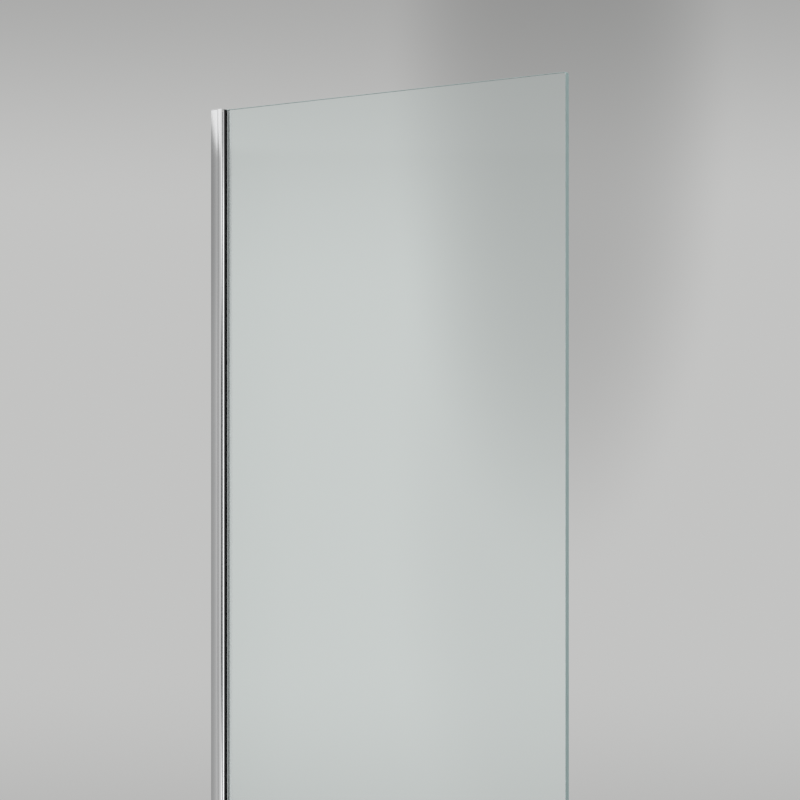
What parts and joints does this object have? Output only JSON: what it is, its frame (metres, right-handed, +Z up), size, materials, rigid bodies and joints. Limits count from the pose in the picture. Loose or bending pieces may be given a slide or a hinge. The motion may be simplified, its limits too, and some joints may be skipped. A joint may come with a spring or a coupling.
{
  "type": "bath screen",
  "caption": "Pivoting bath screen: toughened glass pane on a slim full-height metal wall profile, with a socket hinge, gaskets, seals, end caps and width adjustment",
  "frame": {"origin": "on the wall plane, at the height of the bath rim, on the middle plane of the glass", "axes": "+X from the wall to the free edge, -Y the bathroom side, +Y the bath side, +Z up"},
  "size_m": [0.8, 0.036, 1.5],
  "materials": {
    "bright_aluminium": "bright polished and anodised",
    "chrome_plastic": "chrome-look gloss",
    "clear_glass": "clear, with a green tint in its thickness",
    "black_rubber": "matt black",
    "white_nylon": "matt off-white",
    "clear_pvc": "clear, slightly hazy",
    "screw_steel": "stainless"
  },
  "bodies": {
    "wall_side": {"wall_channel": "bright_aluminium", "clamp_screws": "screw_steel", "clamp_nuts": "screw_steel", "cover_bases": "white_nylon", "cover_caps": "chrome_plastic"},
    "hinge_side": {"hinge_profile": "bright_aluminium", "hinge_liner": "white_nylon", "thrust_pad": "white_nylon", "lift_stop": "white_nylon", "bottom_block": "chrome_plastic", "block_screws": "screw_steel", "top_cap": "chrome_plastic", "side_seal": "clear_pvc"},
    "panel": {"glass_profile": "bright_aluminium", "glass_pane": "clear_glass", "outer_gasket": "black_rubber", "inner_gasket": "black_rubber", "setting_blocks": "white_nylon", "support_block": "white_nylon", "bottom_seal": "clear_pvc"}
  },
  "joints": [
    {"name": "width_adjust", "type": "slide", "parent": "wall_side", "child": "hinge_side", "axis": [1, 0, 0], "range_m": [0, 0.004]},
    {"name": "swing", "type": "hinge", "parent": "hinge_side", "child": "panel", "pos_m": [0.02075, -0.01125, 0.75], "axis": [0, 0, -1], "range_deg": [0, 90]}
  ]
}
